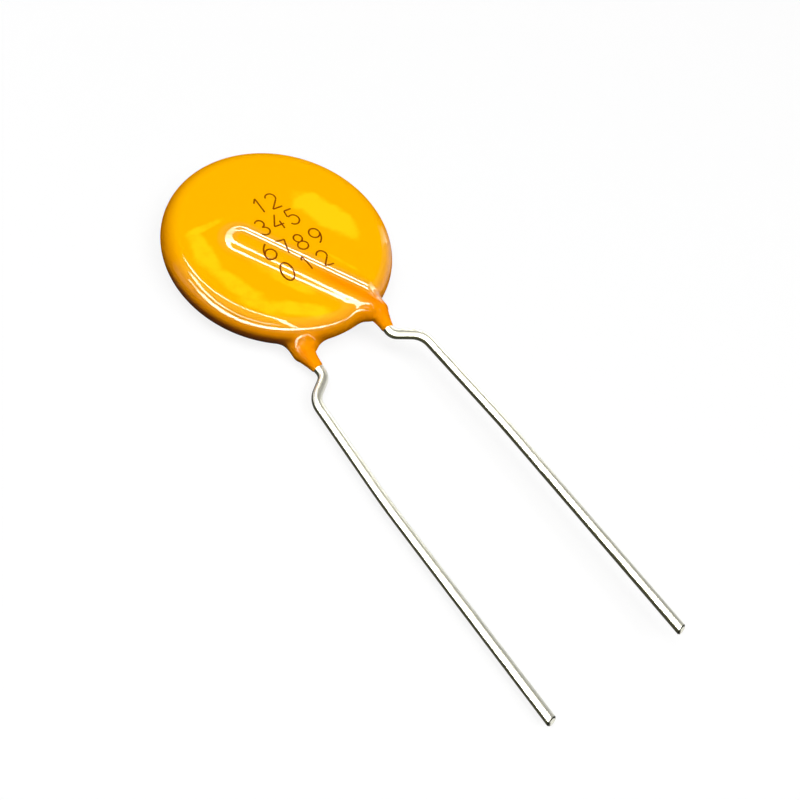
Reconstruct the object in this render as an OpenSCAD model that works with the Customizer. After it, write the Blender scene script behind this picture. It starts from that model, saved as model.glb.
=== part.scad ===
// Single-layer ceramic disc capacitor with two radial wire leads.
// It lies on its rear face: +Z is the marked front face, the leads run towards -Y.
// The rear half is built as the front half is, and turned over about the lead direction.

/* [Capacitor element] */
// Diameter of the ceramic disc
ceramic_d = 16.0; // [13:0.1:20]
// Thickness of the ceramic disc
ceramic_t = 0.6; // [0.4:0.05:0.9]
// Bare ceramic margin between the electrode's edge and the disc's edge
electrode_margin = 0.5; // [0.3:0.05:1]
// Thickness of each fired silver electrode
electrode_t = 0.04; // [0.03:0.005:0.08]
// Solder left between the electrode and the wire
solder_film = 0.03; // [0.02:0.005:0.06]
// Distance from the buried end of a wire to its solder
solder_inset = 1.2; // [0.6:0.1:2]
// Distance from the end of the solder to the rim, along the wire
solder_rim_gap = 2.3; // [2.1:0.1:5]

/* [Coating] */
// Coating outside the edge of the ceramic disc
rim_cover = 1.1; // [0.9:0.05:1.6]
// Coating over each electrode, on the flat of the disc
face_cover = 1.16; // [0.96:0.02:1.4]
// Coating over the top of each buried wire
wire_cover = 0.6; // [0.5:0.05:0.8]
// Softness of the blend where ridges and run-downs meet the body
blend = 1.1; // [0.8:0.05:1.4]
// Length of the run-down on each wire, from the rim outwards
rundown_len = 1.95; // [1.6:0.05:2.2]
// Hollowness of the run-down, where 1 is a straight cone
rundown_curve = 1.2; // [1:0.1:2]
// Thickness of the coating at the end of the run-down
lip = 0.1; // [0.08:0.01:0.2]

/* [Both leads] */
// Wire diameter
lead_d = 0.8; // [0.6:0.05:1]
// Spacing of the leads below the kinks, where they enter a board
lead_spacing = 10.0; // [8.3:0.1:12]
// Sideways offset of the pair of leads, towards the rear lead
pair_offset = 0.1; // [-0.3:0.05:0.3]
// Angle between the buried run of a wire and the lead direction
cross_angle = 32.9; // [27:0.1:38]
// Length of the buried run of a wire, up to the rim
buried_run = 11.1; // [10.5:0.1:12]
// Length over which a wire keeps the slant of its buried run beyond the rim
shoulder = 0.45; // [0.2:0.05:0.6]
// Bend radius of the wire at its shoulder
shoulder_bend_r = 1.5; // [0.9:0.1:2]
// Bend radius at the top of the kinks
kink_top_r = 1.0; // [0.8:0.05:1.1]
// Bend radius at the bottom of the kinks
kink_bottom_r = 1.6; // [0.9:0.05:1.8]
// Length of the first stretch below the kinks
upper_run = 9.3; // [6:0.1:12]
// Bend radius of the slight set in each lead
set_bend_r = 60; // [30:5:90]
// Bevel left by the cutter on the tips
tip_bevel = 0.08; // [0.05:0.01:0.12]

/* [Front lead] */
// Distance off the middle line where the front lead crosses the rim
front_rim_x = 2.7; // [2.2:0.05:3.4]
// Distance off the middle line at the top of its kink
front_neck_x = 2.65; // [2.3:0.05:3.4]
// Length of bare wire from the coating to the top of its kink
front_bare_len = 0.5; // [0.5:0.05:1.2]
// Height of its kink along the lead
front_kink_len = 1.17; // [1:0.01:1.6]
// Outward slant of its first stretch
front_slant_upper = 4.9; // [0:0.05:6]
// Outward slant of its last stretch
front_slant_lower = 2.9; // [0:0.05:6]
// Length from the edge of the disc to its tip
front_lead_len = 31.8; // [26:0.1:40]

/* [Rear lead] */
// Distance off the middle line where the rear lead crosses the rim
rear_rim_x = 3.25; // [2.6:0.05:3.6]
// Distance off the middle line at the top of its kink
rear_neck_x = 3.25; // [2.6:0.05:3.5]
// Length of bare wire from the coating to the top of its kink
rear_bare_len = 0.76; // [0.5:0.02:1.4]
// Height of its kink along the lead
rear_kink_len = 1.4; // [1:0.05:1.6]
// Outward slant of its first stretch
rear_slant_upper = 1.05; // [0:0.05:3]
// Outward slant of its last stretch
rear_slant_lower = -1.65; // [-3:0.05:0]
// Length from the edge of the disc to its tip
rear_lead_len = 31.1; // [26:0.1:40]

/* [Hidden] */
$fn = 96;

stack_t = ceramic_t / 2 + electrode_t;
rim_r = ceramic_d / 2 + rim_cover;
body_r = stack_t + face_cover;
flat_r = rim_r - body_r;
lead_r = lead_d / 2;
ridge_r = lead_r + wire_cover;
lip_r = lead_r + lip;
lip_reach = sqrt(lip_r * lip_r - lead_r * lead_r);
wire_z = stack_t + solder_film + lead_r;

// Height of a ridge's crest over the middle plane, from the blend of body and ridge.
crest_step = wire_z + ridge_r - body_r;
crest_z = wire_z + ridge_r + pow(max(blend - crest_step, 0), 2) / (4 * blend);

// Places along a lead, seen from above in the plane of its wire, with X counted from the
// middle line to its own side: the buried end, the rim, the shoulder, the top and the
// bottom of the kink, the slight set and the tip.
function places(rim_x, neck_x, bare_len, kink_x, kink_len, upper, lower, len) =
    let (slanted = [sin(cross_angle), -cos(cross_angle)],
         rim = [rim_x, -sqrt(rim_r * rim_r - rim_x * rim_x)],
         bend = rim + shoulder * slanted,
         neck_len = rundown_len - shoulder + lip_reach + bare_len,
         kink_top = [neck_x, bend.y - sqrt(pow(neck_len, 2) - pow(neck_x - bend.x, 2))],
         kink_bottom = [kink_x, kink_top.y - kink_len],
         set_pt = kink_bottom + upper_run * [sin(upper), -cos(upper)],
         tip_y = -rim_r - len)
    [rim - buried_run * slanted, rim, bend, kink_top, kink_bottom, set_pt,
     [set_pt.x + (set_pt.y - tip_y) * tan(lower), tip_y]];

front = places(front_rim_x, front_neck_x, front_bare_len,
               lead_spacing / 2 - pair_offset, front_kink_len,
               front_slant_upper, front_slant_lower, front_lead_len);
rear = places(rear_rim_x, rear_neck_x, rear_bare_len,
              lead_spacing / 2 + pair_offset, rear_kink_len,
              rear_slant_upper, rear_slant_lower, rear_lead_len);

// The way of a lead between its shoulder and its kink, and the end of its run-down.
function neck_way(lead) = (lead[3] - lead[2]) / norm(lead[3] - lead[2]);
function rundown_end(lead) = lead[2] + (rundown_len - shoulder) * neck_way(lead);

// The part stands centred on the origin, with the rear ridge on Z = 0.
rest_shift = [0, max(front_lead_len, rear_lead_len) / 2, crest_z];

// ---------------------------------------------------------------- the coating's skin

// Two distances joined by a smooth blend of size k.
function soft_min(a, b, k) =
    let (h = max(k - abs(a - b), 0))
    min(a, b) - h * h / (4 * k);

// Radius of the coating round a wire, at a distance beyond the rim.
function cover_r(beyond) =
    lip_r + (ridge_r - lip_r) * pow(1 - beyond / rundown_len, rundown_curve);

// Distance from p to the coating round a straight wire from a to b, whose ends are at
// the given distances beyond the rim.
function covered(p, a, b, beyond_a, beyond_b) =
    let (from = [a.x, a.y, wire_z],
         ab = [b.x - a.x, b.y - a.y, 0],
         t = min(max((p - from) * ab / (ab * ab), 0), 1))
    norm(p - from - t * ab) - cover_r(beyond_a + t * (beyond_b - beyond_a));

// Distance to the ridge and run-down over one wire; side 1 is front, -1 is rear.
function over_wire(p, lead, side) =
    let (q = [side * p.x, p.y, side * p.z])
    min(covered(q, lead[0], lead[1], 0, 0),
        covered(q, lead[1], lead[2], 0, shoulder),
        covered(q, lead[2], rundown_end(lead), shoulder, rundown_len));

// Distance to the skin, negative inside: a flat disc with a full round rim, and both wires.
function skin(p) =
    let (out = max(norm([p.x, p.y]) - flat_r, 0),
         body = norm([out, p.z]) - body_r)
    soft_min(soft_min(body, over_wire(p, front, 1), blend), over_wire(p, rear, -1), blend);

// Every line of the search below is shorter than this from its start to the skin.
reach = body_r + rundown_len + 2 * ridge_r;
halvings = 22;

// Where the line from p along d leaves the skin, by halving the stretch from lo to hi.
function leave(p, d, lo = 0, hi = reach, n = halvings) =
    let (mid = (lo + hi) / 2)
    n == 0 ? p + mid * d
    : skin(p + mid * d) > 0 ? leave(p, d, lo, mid, n - 1)
    : leave(p, d, mid, hi, n - 1);

// Where the line of a run-down, carried back, meets the circle round the flat, as an
// angle off the lead direction, and the angle of the line itself.
function foot_angle(lead) =
    let (n = neck_way(lead),
         back = lead[2] * n - sqrt(pow(lead[2] * n, 2) - lead[2] * lead[2] + flat_r * flat_r),
         foot = lead[2] - back * n)
    atan2(foot.x, -foot.y);
function neck_angle(lead) = atan2(neck_way(lead).x, -neck_way(lead).y);

front_foot = foot_angle(front);
rear_foot = foot_angle(rear);

// The skin's columns crowd towards the two run-downs.
near_columns = 14;
far_columns = 28;
near_crowding = 1.6;
far_crowding = 1.7;
function half_columns(foot) = concat(
    [for (i = [0:near_columns - 1])
        foot * (1 - pow(1 - i / near_columns, near_crowding))],
    [for (i = [0:far_columns])
        foot + (180 - foot) * pow(i / far_columns, far_crowding)]);
rear_columns = half_columns(rear_foot);
columns = concat(half_columns(front_foot),
    [for (i = [len(rear_columns) - 2:-1:1]) -rear_columns[i]]);

// Share of a run-down in a column: 1 in its own column, falling off on both sides.
function share(a, foot, width, power) = exp(-pow(abs(a - foot) / width, power));

// Angle of the lines of a column beyond the flat. Columns run straight out from the
// middle of the disc, and along a run-down beside it.
turn_width = 16;
turn_power = 4;
function line_angle(a) =
    a - (front_foot - neck_angle(front)) * share(a, front_foot, turn_width, turn_power)
      + (rear_foot - neck_angle(rear)) * share(-a, rear_foot, turn_width, turn_power);

// Rings of the skin from the front face over the rim to the rear face, as
// [radius where the line starts, angle of the line above the middle plane].
face_rings = 15;
rim_rings = 9;
rim_crowding = 1.8;
rings = concat(
    [for (i = [1:face_rings]) [flat_r * i / face_rings, 90]],
    [for (j = [rim_rings - 1:-1:1 - rim_rings])
        [flat_r, 90 * sign(j) * pow(abs(j) / rim_rings, rim_crowding)]],
    [for (i = [face_rings:-1:1]) [flat_r * i / face_rings, -90]]);

// Share of the wire's height at which a line starts: all of it beside a run-down, and
// less with the angle from it and towards the middle of the disc.
lift_width = 9;
lift_power = 6;
function lift(ring, a) =
    (share(a, front_foot, lift_width, 2) - share(-a, rear_foot, lift_width, 2))
        * pow(ring[0] / flat_r, lift_power);

// Point of the skin in one ring and column.
function skin_point(ring, a) =
    let (start = [ring[0] * sin(a), -ring[0] * cos(a), wire_z * lift(ring, a)],
         way = [sin(line_angle(a)), -cos(line_angle(a)), 0])
    leave(start, cos(ring[1]) * way + [0, 0, sin(ring[1])]);

module skin_solid() {
    nc = len(columns);
    nr = len(rings);
    points = concat(
        [for (r = rings) for (a = columns) skin_point(r, a)],
        [leave([0, 0, 0], [0, 0, 1]), leave([0, 0, 0], [0, 0, -1])]);
    faces = concat(
        [for (r = [0:nr - 2]) for (c = [0:nc - 1])
            each let (d = (c + 1) % nc)
            [[r * nc + c, (r + 1) * nc + d, (r + 1) * nc + c],
             [r * nc + c, r * nc + d, (r + 1) * nc + d]]],
        [for (c = [0:nc - 1]) [nr * nc, (c + 1) % nc, c]],
        [for (c = [0:nc - 1])
            [nr * nc + 1, (nr - 1) * nc + c, (nr - 1) * nc + (c + 1) % nc]]);
    polyhedron(points, faces, convexity = 6);
}

// ---------------------------------------------------------------- wires

// Angle of the way from a to b, counted from +X.
function way_angle(a, b) = atan2(b.y - a.y, b.x - a.x);

// Turn at corner i of a path, left turns positive.
function turn(path, i) =
    let (t = way_angle(path[i], path[i + 1]) - way_angle(path[i - 1], path[i]))
    t > 180 ? t - 360 : t < -180 ? t + 360 : t;

// Length that the bend at corner i takes from each of its two stretches.
function bend_cut(path, radii, i) =
    i == 0 || i == len(path) - 1 ? 0 : radii[i] * tan(abs(turn(path, i)) / 2);

// Diameter that the wire loses in a bend, and how far a bend laps into its straights.
bend_thinning = 0.01;
bend_lap = 0.05;

// Round wire along a path in the XY plane, with a true bend at each inner corner. A bend
// is a hair thinner than the straights, as drawn wire is, and laps into both of them.
module wire(path, radii, d) {
    last = len(path) - 1;
    for (i = [0:last - 1]) {
        way = way_angle(path[i], path[i + 1]);
        cut = bend_cut(path, radii, i);
        run = norm(path[i + 1] - path[i]) - cut - bend_cut(path, radii, i + 1);
        translate([path[i].x, path[i].y, 0])
            rotate([0, 0, way])
                translate([cut, 0, 0])
                    rotate([0, 90, 0])
                        cylinder(d = d, h = run);
    }
    for (i = [1:last - 1]) {
        way = way_angle(path[i - 1], path[i]);
        bend = turn(path, i);
        side = sign(bend);
        cut = bend_cut(path, radii, i);
        lap = bend_lap / radii[i] * 180 / PI;
        translate([path[i].x, path[i].y, 0])
            rotate([0, 0, way])
                translate([-cut, side * radii[i], 0])
                    rotate([0, 0, (side > 0 ? -90 : 90 + bend) - lap])
                        rotate_extrude(angle = abs(bend) + 2 * lap)
                            translate([radii[i], 0])
                                circle(d = d - bend_thinning);
    }
}

// A lead from its buried end to its tip, on its own side. The bend at the top of the
// kink starts on bare wire, so it is tighter where little of that is left.
module shaped_lead(lead, bare_len, lower) {
    path = [for (i = [0, 2, 3, 4, 5, 6]) lead[i]];
    top_r = min(kink_top_r, (bare_len - bend_lap) / tan(abs(turn(path, 2)) / 2));
    tip = lead[6];
    translate([0, 0, wire_z])
        difference() {
            wire(path, [0, shoulder_bend_r, top_r, kink_bottom_r, set_bend_r, 0], lead_d);
            translate([tip.x, tip.y, 0])
                rotate([0, 0, lower])
                    rotate([90, 0, 0])
                        tip_cutter();
        }
}

// What the cutter takes off: a ring around a cone of 45 degrees that passes the tip.
cutter_margin = 0.04;
module tip_cutter() {
    difference() {
        translate([0, 0, -tip_bevel - cutter_margin])
            cylinder(r = lead_r + 3 * cutter_margin, h = tip_bevel + 2 * cutter_margin);
        translate([0, 0, -tip_bevel - 2 * cutter_margin])
            cylinder(r1 = lead_r + 2 * cutter_margin,
                     r2 = lead_r - tip_bevel - 2 * cutter_margin,
                     h = tip_bevel + 4 * cutter_margin);
    }
}

module shaped_front_lead() {
    shaped_lead(front, front_bare_len, front_slant_lower);
}

module shaped_rear_lead() {
    to_rear()
        shaped_lead(rear, rear_bare_len, rear_slant_lower);
}

// Turns what is made for the front over to the rear.
module to_rear() {
    rotate([0, 180, 0])
        children();
}

// ---------------------------------------------------------------- capacitor element

module ceramic() {
    cylinder(d = ceramic_d, h = ceramic_t, center = true);
}

module electrode() {
    translate([0, 0, ceramic_t / 2])
        cylinder(d = ceramic_d - 2 * electrode_margin, h = electrode_t);
}

// Fillets on both sides of the wire, tangent to the wire's sides and to the electrode.
module solder_section() {
    fillet = lead_r;
    half_width = lead_r + fillet;
    difference() {
        translate([-half_width, 0])
            square([2 * half_width, solder_film + fillet]);
        for (side = [-1, 1])
            translate([side * half_width, solder_film + fillet])
                circle(r = fillet);
    }
}

// Solder along the buried run of a lead, before the wire's place is cut from it.
module solder_body(lead) {
    translate([lead[0].x, lead[0].y, stack_t])
        rotate([0, 0, cross_angle])
            translate([0, -solder_inset, 0])
                rotate([90, 0, 0])
                    linear_extrude(buried_run - solder_inset - solder_rim_gap)
                        solder_section();
}

module shaped_front_solder() {
    difference() {
        solder_body(front);
        shaped_front_lead();
    }
}

module shaped_rear_solder() {
    difference() {
        to_rear()
            solder_body(rear);
        shaped_rear_lead();
    }
}

// ---------------------------------------------------------------- nodes

module coating() {
    color("#f7a600")
        translate(rest_shift)
            difference() {
                skin_solid();
                union() {
                    ceramic();
                    electrode();
                    to_rear() electrode();
                    solder_body(front);
                    to_rear() solder_body(rear);
                    shaped_front_lead();
                    shaped_rear_lead();
                }
            }
}

module ceramic_disc() {
    color("#c9a877")
        translate(rest_shift)
            ceramic();
}

module front_electrode() {
    color("#d9d9d4")
        translate(rest_shift)
            electrode();
}

module rear_electrode() {
    color("#d9d9d4")
        translate(rest_shift)
            to_rear() electrode();
}

module front_solder() {
    color("#a9acb0")
        translate(rest_shift)
            shaped_front_solder();
}

module rear_solder() {
    color("#a9acb0")
        translate(rest_shift)
            shaped_rear_solder();
}

module front_lead() {
    color("#c8c8c4")
        translate(rest_shift)
            shaped_front_lead();
}

module rear_lead() {
    color("#c8c8c4")
        translate(rest_shift)
            shaped_rear_lead();
}

coating();
ceramic_disc();
front_electrode();
rear_electrode();
front_solder();
rear_solder();
front_lead();
rear_lead();
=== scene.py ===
"""Coated ceramic disc capacitor with two radial wires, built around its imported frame.

The disc lies on its rear face: +Z is the printed front face and the wires run towards -Y.
Each new piece is a surface worked out with numpy from the part's own sizes.
"""
import math

import bpy
import numpy as np
from bpy.props import FloatProperty, FloatVectorProperty, PointerProperty, StringProperty
from bpy.types import Operator, Panel, PropertyGroup
from mathutils import Matrix, Vector


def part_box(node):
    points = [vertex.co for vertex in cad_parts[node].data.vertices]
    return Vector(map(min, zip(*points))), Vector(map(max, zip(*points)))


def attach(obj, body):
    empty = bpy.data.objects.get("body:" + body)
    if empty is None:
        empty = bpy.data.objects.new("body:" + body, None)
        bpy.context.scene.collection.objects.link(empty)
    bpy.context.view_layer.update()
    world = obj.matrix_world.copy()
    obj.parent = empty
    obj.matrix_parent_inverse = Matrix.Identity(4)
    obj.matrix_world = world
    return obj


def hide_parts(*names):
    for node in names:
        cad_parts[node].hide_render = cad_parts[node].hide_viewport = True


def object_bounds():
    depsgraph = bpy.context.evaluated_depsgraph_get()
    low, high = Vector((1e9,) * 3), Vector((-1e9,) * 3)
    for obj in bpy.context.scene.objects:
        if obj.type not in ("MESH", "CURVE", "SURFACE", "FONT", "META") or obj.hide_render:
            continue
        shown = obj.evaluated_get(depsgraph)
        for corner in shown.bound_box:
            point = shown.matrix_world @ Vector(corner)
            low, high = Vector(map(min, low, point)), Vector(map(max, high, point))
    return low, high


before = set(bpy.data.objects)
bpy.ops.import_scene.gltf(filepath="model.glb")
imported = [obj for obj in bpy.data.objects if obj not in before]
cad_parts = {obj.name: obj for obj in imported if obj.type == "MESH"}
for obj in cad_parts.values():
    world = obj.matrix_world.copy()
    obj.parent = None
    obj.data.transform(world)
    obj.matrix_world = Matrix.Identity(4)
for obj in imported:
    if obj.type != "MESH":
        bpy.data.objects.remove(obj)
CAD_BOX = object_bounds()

bl_info = {
    "name": "Ceramic disc capacitor",
    "version": (1, 0, 0),
    "blender": (4, 5, 0),
    "location": "3D View > Sidebar > Capacitor",
    "description": "Builds the coating, the wires, the printed numbers and the studio",
    "category": "Object",
}

MM = 0.001
UP = np.array([0, 0, 1.0])


# ---- properties

def length(name, description, millimetres):
    """A length property, written here in millimetres."""
    return FloatProperty(name=name, description=description, default=millimetres * MM,
                         unit="LENGTH", precision=5)


def angle(name, description, degrees):
    """An angle property, written here in degrees."""
    return FloatProperty(name=name, description=description,
                         default=math.radians(degrees), unit="ROTATION", precision=3)


def colour(name, what, rgb):
    """A colour property in scene-linear values."""
    return FloatVectorProperty(name=name, description=f"Colour of the {what}",
                               default=rgb, subtype="COLOR", min=0, max=1)


def factor(name, description, value, most=1.0):
    """A plain share or factor."""
    return FloatProperty(name=name, description=description, default=value, min=0,
                         max=most, subtype="FACTOR")


class CoatingSizes(PropertyGroup):
    """Sizes of the capacitor element and the coating over it."""
    ceramic_d: length("Ceramic diameter", "Diameter of the ceramic disc", 16.0)
    ceramic_t: length("Ceramic thickness", "Thickness of the ceramic disc", 0.6)
    electrode_t: length("Electrode", "Thickness of each fired silver electrode", 0.04)
    solder_film: length("Solder film", "Solder between electrode and wire", 0.03)
    rim_cover: length("Rim cover", "Coating outside the disc's edge", 1.1)
    face_cover: length("Face cover", "Coating over each electrode", 1.16)
    wire_cover: length("Wire cover", "Coating over the top of each buried wire", 0.6)
    blend: length("Blend", "Softness of the blend of ridges and body", 1.1)
    far_blend: factor("Far blend", "Share of the blend left on the far face", 0.5)
    rundown_len: length("Run-down", "Length of the run-down on each wire", 1.95)
    rundown_curve: factor("Run-down curve", "Hollowness of the run-down", 1.2, 3)
    lip: length("Lip", "Thickness at the end of the run-down", 0.1)


class CoatingLook(PropertyGroup):
    """Colours of the coating."""
    face: colour("Face", "coating on the flat", (0.96, 0.43, 0.0))
    # Painted reflection: the yellow of the sheen patches on the flat.
    pool: colour("Sheen", "coating where it is thick", (0.97, 0.61, 0.005))
    thin: colour("Thin", "coating where it is thin over a wire", (0.92, 0.26, 0.0))
    rim: colour("Rim", "coating on the round of the rim", (0.92, 0.28, 0.0))
    # Painted shade: dark brown for the round of the rim beneath, on the -X and -Y side.
    shaded_under: colour("Under", "coating under the round of the rim", (0.2, 0.035, 0.0))
    grain: length("Grain", "Size of the fine waviness of the skin", 0.35)


class WireSizes(PropertyGroup):
    """Sizes that both wires share."""
    diameter: length("Diameter", "Wire diameter", 0.8)
    spacing: length("Spacing", "Spacing of the wires below the kinks", 10.0)
    pair_offset: length("Offset", "Sideways offset towards the rear wire", 0.1)
    cross_angle: angle("Crossing", "Angle of a buried run to the lead direction", 32.9)
    buried_run: length("Buried run", "Length of a buried run up to the rim", 11.1)
    shoulder: length("Shoulder", "Slanted length past the rim", 0.45)
    shoulder_bend_r: length("Shoulder bend", "Bend radius at the shoulder", 1.5)
    kink_top_r: length("Kink top", "Bend radius at the top of the kinks", 1.0)
    kink_bottom_r: length("Kink bottom", "Bend radius at the bottom of the kinks", 1.6)
    upper_run: length("Upper run", "Length of the first stretch below the kinks", 9.3)
    set_bend_r: length("Set bend", "Bend radius of the slight set", 60.0)
    bend_lap: length("Bend lap", "Straight wire past the coating before a kink", 0.05)
    tip_bevel: length("Tip bevel", "Bevel left by the cutter", 0.08)
    tip_lean: length("Tip lean", "How far the end face's top leans back", 0.3)


# One wire's own sizes: kind, title, description, and the front and the rear wire's value.
OWN_SIZES = {
    "rim_x": (length, "Rim", "Distance off the middle line at the rim", 2.7, 3.25),
    "neck_x": (length, "Neck", "Distance off the middle line at the kink's top", 2.65, 3.25),
    "bare_len": (length, "Bare", "Bare wire from the coating to the kink", 0.5, 0.76),
    "kink_len": (length, "Kink", "Height of the kink along the lead", 1.17, 1.4),
    "slant_upper": (angle, "Upper slant", "Outward slant of the first stretch", 4.9, 1.05),
    "slant_lower": (angle, "Lower slant", "Outward slant of the last stretch", 2.9, -1.65),
    "lead_len": (length, "Lead", "Length from the disc's edge to the tip", 31.8, 31.1),
}


def own_sizes(wire):
    """The properties of the front wire (0) or the rear wire (1) alone."""
    return {key: kind(title, description, values[wire])
            for key, (kind, title, description, *values) in OWN_SIZES.items()}


class FrontWireSizes(PropertyGroup):
    """Sizes of the front wire alone, counted on its own side."""
    __annotations__ = own_sizes(0)


class RearWireSizes(PropertyGroup):
    """Sizes of the rear wire alone, counted on its own side."""
    __annotations__ = own_sizes(1)


class WireLook(PropertyGroup):
    """Finish of the tinned wire."""
    tin: colour("Tin", "bright tin", (0.8, 0.8, 0.74))
    dull: colour("Dull tin", "drawn and dulled streaks", (0.42, 0.42, 0.36))
    # Painted dark reflection: the dark band along the side of the wire that looks towards -X
    # and down.
    shaded_side: colour("Shaded tin", "dull side", (0.04, 0.04, 0.025))
    # Painted shade: the near-black ring on the cutter's bevel at the tip.
    cut: colour("Cut edge", "cutter's edges", (0.002, 0.002, 0.001))
    edge: colour("Edge", "tin at grazing angles", (0.7, 0.7, 0.64))


class InnerLook(PropertyGroup):
    """Colours of the pieces inside the coating."""
    ceramic: colour("Ceramic", "ceramic", (0.55, 0.4, 0.22))
    speckle: colour("Speckle", "ceramic's speckle", (0.42, 0.29, 0.15))
    silver: colour("Silver", "fired silver", (0.72, 0.71, 0.68))
    silver_cloud: colour("Silver cloud", "silver's soft patches", (0.6, 0.59, 0.55))
    solder: colour("Solder", "solder", (0.55, 0.56, 0.58))
    solder_cloud: colour("Solder cloud", "solder's soft patches", (0.42, 0.43, 0.45))


class MarkingSizes(PropertyGroup):
    """The printed plain numbers."""
    row_1: StringProperty(name="Row 1", description="Numerals of row 1", default="12")
    row_2: StringProperty(name="Row 2", description="Numerals of row 2", default="345")
    row_3: StringProperty(name="Row 3", description="Numerals of row 3", default="6789")
    row_4: StringProperty(name="Row 4", description="Numerals of row 4", default="012")
    height: length("Height", "Height of a numeral", 1.5)
    stroke: length("Stroke", "Width of a stroke", 0.125)
    relief: length("Relief", "Height of the ink over the skin", 0.015)
    ink: colour("Ink", "ink", (0.2, 0.035, 0.001))


class StageSettings(PropertyGroup):
    """Camera, floor, surroundings and lamps."""
    azimuth: angle("Azimuth", "Way the camera looks, from +Y towards +X", 59.841)
    elevation: angle("Elevation", "How far the camera looks down", 56.079)
    roll: angle("Roll", "Lean of the camera's up to its own right", -27.217)
    distance: length("Distance", "Distance from the camera to its aim", 66.436)
    lens: FloatProperty(name="Lens", description="Focal length in millimetres",
                        default=40.47, min=10, max=200)
    floor: colour("Floor", "floor as it is seen", (0.9, 0.9, 0.9))
    bounce: colour("Bounce", "floor as it lights the part", (0.03, 0.03, 0.03))
    whiteness: factor("Whiteness", "Share of plain white in the floor as seen", 0.84)
    walls: factor("Walls", "Brightness of the pale walls", 0.8)
    ceiling: factor("Ceiling", "Brightness of the dim ceiling", 0.32)
    keys: factor("Keys", "Strength of both soft keys together", 1.43, 4)
    key_size: length("Key size", "Side of a soft key", 250.0)
    left_way: FloatVectorProperty(name="Left key", description="Where the left key stands",
                                  default=(-0.4, 0.05, 1.0), subtype="DIRECTION")
    low_way: FloatVectorProperty(name="Low key", description="Where the low key stands",
                                 default=(0.15, -0.5, 1.0), subtype="DIRECTION")
    lamps: factor("Lamps", "Strength of all strip lamps", 1.0, 4)
    lamp_step: angle("Lamp step", "Longest stretch of one strip lamp", 13)


GROUPS = {
    "cap_coating": CoatingSizes,
    "cap_coating_look": CoatingLook,
    "cap_wires": WireSizes,
    "cap_front_wire": FrontWireSizes,
    "cap_rear_wire": RearWireSizes,
    "cap_wire_look": WireLook,
    "cap_inner_look": InnerLook,
    "cap_marking": MarkingSizes,
    "cap_stage": StageSettings,
}


# ---- plain helpers

def unit(v):
    """v at length 1."""
    return v / np.linalg.norm(v)


def heading(slant):
    """The direction in plan at a slant off the lead direction, -Y."""
    return np.array([math.sin(slant), -math.cos(slant)])


def ramp(value, low, high):
    """0 up to low, 1 from high on, and straight between."""
    return np.clip((value - low) / (high - low), 0, 1)


def from_axis(p):
    """Distance of points from the disc's axis."""
    return np.hypot(p[..., 0], p[..., 1])


def gone(path):
    """Length gone along a path at each of its points."""
    return np.append(0, np.cumsum(np.linalg.norm(np.diff(path, axis=0), axis=1)))


def followed(path, run, places):
    """Points at places along a path in plan, and the ways ahead and to the left there."""
    at = np.stack([np.interp(places, run, path[:, k]) for k in (0, 1)], -1)
    ahead = np.gradient(at, places, axis=0)
    ahead /= np.linalg.norm(ahead, axis=1)[:, None]
    return at, ahead, np.stack([-ahead[:, 1], ahead[:, 0]], -1)


# ---- the wires' course

class Course:
    """Where one wire runs, in plan about the disc's middle, X counted to its own side."""

    def __init__(self, coat, both, own, side):
        rim_r = coat.ceramic_d / 2 + coat.rim_cover
        lead_r = both.diameter / 2
        lip_r = lead_r + coat.lip
        slanted = heading(both.cross_angle)
        self.side = side
        self.rim = np.array([own.rim_x, -math.sqrt(rim_r ** 2 - own.rim_x ** 2)])
        self.inner = self.rim - both.buried_run * slanted
        self.bend = self.rim + both.shoulder * slanted
        neck = (coat.rundown_len - both.shoulder + math.sqrt(lip_r ** 2 - lead_r ** 2)
                + own.bare_len)
        drop = math.sqrt(neck ** 2 - (own.neck_x - self.bend[0]) ** 2)
        self.kink_top = np.array([own.neck_x, self.bend[1] - drop])
        kink_x = both.spacing / 2 - side * both.pair_offset
        self.kink_bottom = np.array([kink_x, self.kink_top[1] - own.kink_len])
        self.set = self.kink_bottom + both.upper_run * heading(own.slant_upper)
        tip_y = -rim_r - own.lead_len
        fall = self.set[1] - tip_y
        self.tip = np.array([self.set[0] + fall * math.tan(own.slant_lower), tip_y])
        self.neck_way = unit(self.kink_top - self.bend)
        self.rundown_end = self.bend + (coat.rundown_len - both.shoulder) * self.neck_way
        self.bare_len = own.bare_len

    def foot(self, radius):
        """Angle off the lead direction at which the neck's line, carried back, meets the
        circle of that radius: the nearer root of |bend - s * way| = radius."""
        along = self.bend @ self.neck_way
        back = along - math.sqrt(along ** 2 - self.bend @ self.bend + radius ** 2)
        x, y = self.bend - back * self.neck_way
        return math.atan2(x, -y)

    def neck_angle(self):
        """Angle of the neck off the lead direction."""
        return math.atan2(self.neck_way[0], -self.neck_way[1])


def rounded(corners, radii, step):
    """A path through corners with a true arc at each inner one: the arc starts
    radius * tan(half the turn) before its corner and is cut into equal angles."""
    points = [corners[0]]
    for i in range(1, len(corners) - 1):
        before, after = unit(corners[i] - corners[i - 1]), unit(corners[i + 1] - corners[i])
        turn = math.atan2(before[0] * after[1] - before[1] * after[0], before @ after)
        cut = radii[i] * math.tan(abs(turn) / 2)
        start = corners[i] - cut * before
        inward = math.copysign(1, turn) * np.array([-before[1], before[0]])
        count = max(3, math.ceil(abs(turn) / step))
        t = np.linspace(0, abs(turn), count + 1)[:, None]
        points.extend(start + radii[i] * (np.sin(t) * before + (1 - np.cos(t)) * inward))
    points.append(corners[-1])
    return np.array(points)


# ---- the coating's skin

def soft_min(a, b, k):
    """The smaller of two distances, rounded where they differ by less than k:
    min(a, b) - max(k - |a - b|, 0) squared / 4k."""
    return np.minimum(a, b) - np.maximum(k - np.abs(a - b), 0) ** 2 / (4 * k)


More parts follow.
